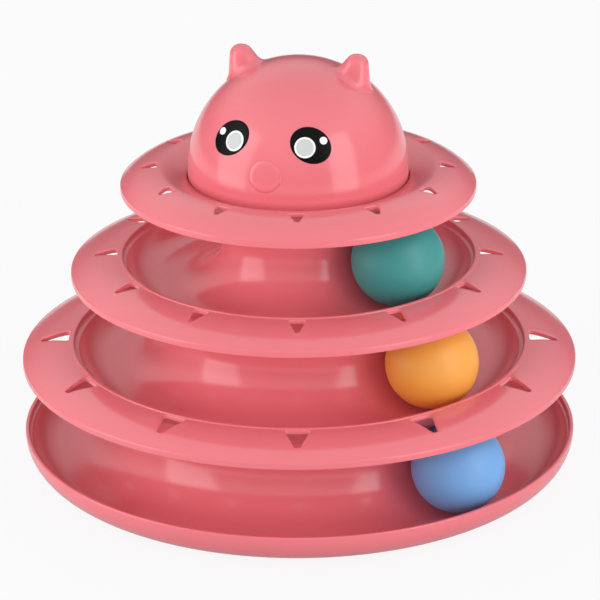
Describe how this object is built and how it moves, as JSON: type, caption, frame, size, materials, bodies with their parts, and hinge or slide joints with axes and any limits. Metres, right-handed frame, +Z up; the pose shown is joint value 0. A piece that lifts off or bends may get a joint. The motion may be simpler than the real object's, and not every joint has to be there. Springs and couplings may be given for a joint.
{
  "type": "cat ball track toy",
  "caption": "Stacked round ball-track tower for cats: a base tray and track bowls round central hubs, each with a rolling ball, under a brimmed disc and a cat-head dome.",
  "frame": {"origin": "on the ground under the centre of the tower", "axes": "+Z up through the hubs, -Y the way the cat's face looks, +X to the right seen from the front"},
  "size_m": [0.25, 0.25, 0.1913],
  "materials": {
    "pink_plastic": "glossy moulded coral pink plastic",
    "foot_rubber": "soft matt rubber",
    "blue_ball": "satin light blue",
    "orange_ball": "satin orange",
    "teal_ball": "satin teal",
    "eye_black": "printed black",
    "eye_grey": "printed pale grey",
    "eye_white": "printed white"
  },
  "bodies": {
    "base": {"base_tray": "pink_plastic", "rubber_foot_1": "foot_rubber", "rubber_foot_2": "foot_rubber", "rubber_foot_3": "foot_rubber", "rubber_foot_4": "foot_rubber"},
    "blue": {"blue_ball": "blue_ball"},
    "middle": {"middle_track": "pink_plastic"},
    "orange": {"orange_ball": "orange_ball"},
    "upper": {"upper_track": "pink_plastic"},
    "teal": {"teal_ball": "teal_ball"},
    "top": {"top_disc": "pink_plastic"},
    "head": {"head_dome": "pink_plastic", "left_eye": "eye_black", "left_eye_disc": "eye_grey", "left_eye_ring": "eye_white", "left_eye_dot": "eye_white", "right_eye": "eye_black", "right_eye_disc": "eye_grey", "right_eye_ring": "eye_white", "right_eye_dot": "eye_white"}
  },
  "joints": [
    {"name": "blue_roll", "type": "hinge", "parent": "base", "child": "blue", "pos_m": [0, 0, 0.024], "axis": [0, 0, 1], "continuous": true},
    {"name": "middle_lift", "type": "slide", "parent": "base", "child": "middle", "axis": [0, 0, 1], "range_m": [0, 0.05]},
    {"name": "orange_roll", "type": "hinge", "parent": "middle", "child": "orange", "pos_m": [0, 0, 0.0648], "axis": [0, 0, 1], "continuous": true},
    {"name": "upper_lift", "type": "slide", "parent": "middle", "child": "upper", "axis": [0, 0, 1], "range_m": [0, 0.05]},
    {"name": "teal_roll", "type": "hinge", "parent": "upper", "child": "teal", "pos_m": [0, 0, 0.1056], "axis": [0, 0, 1], "continuous": true},
    {"name": "top_lift", "type": "slide", "parent": "upper", "child": "top", "axis": [0, 0, 1], "range_m": [0, 0.05]},
    {"name": "head_lift", "type": "slide", "parent": "top", "child": "head", "axis": [0, 0, 1], "range_m": [0, 0.03]}
  ]
}
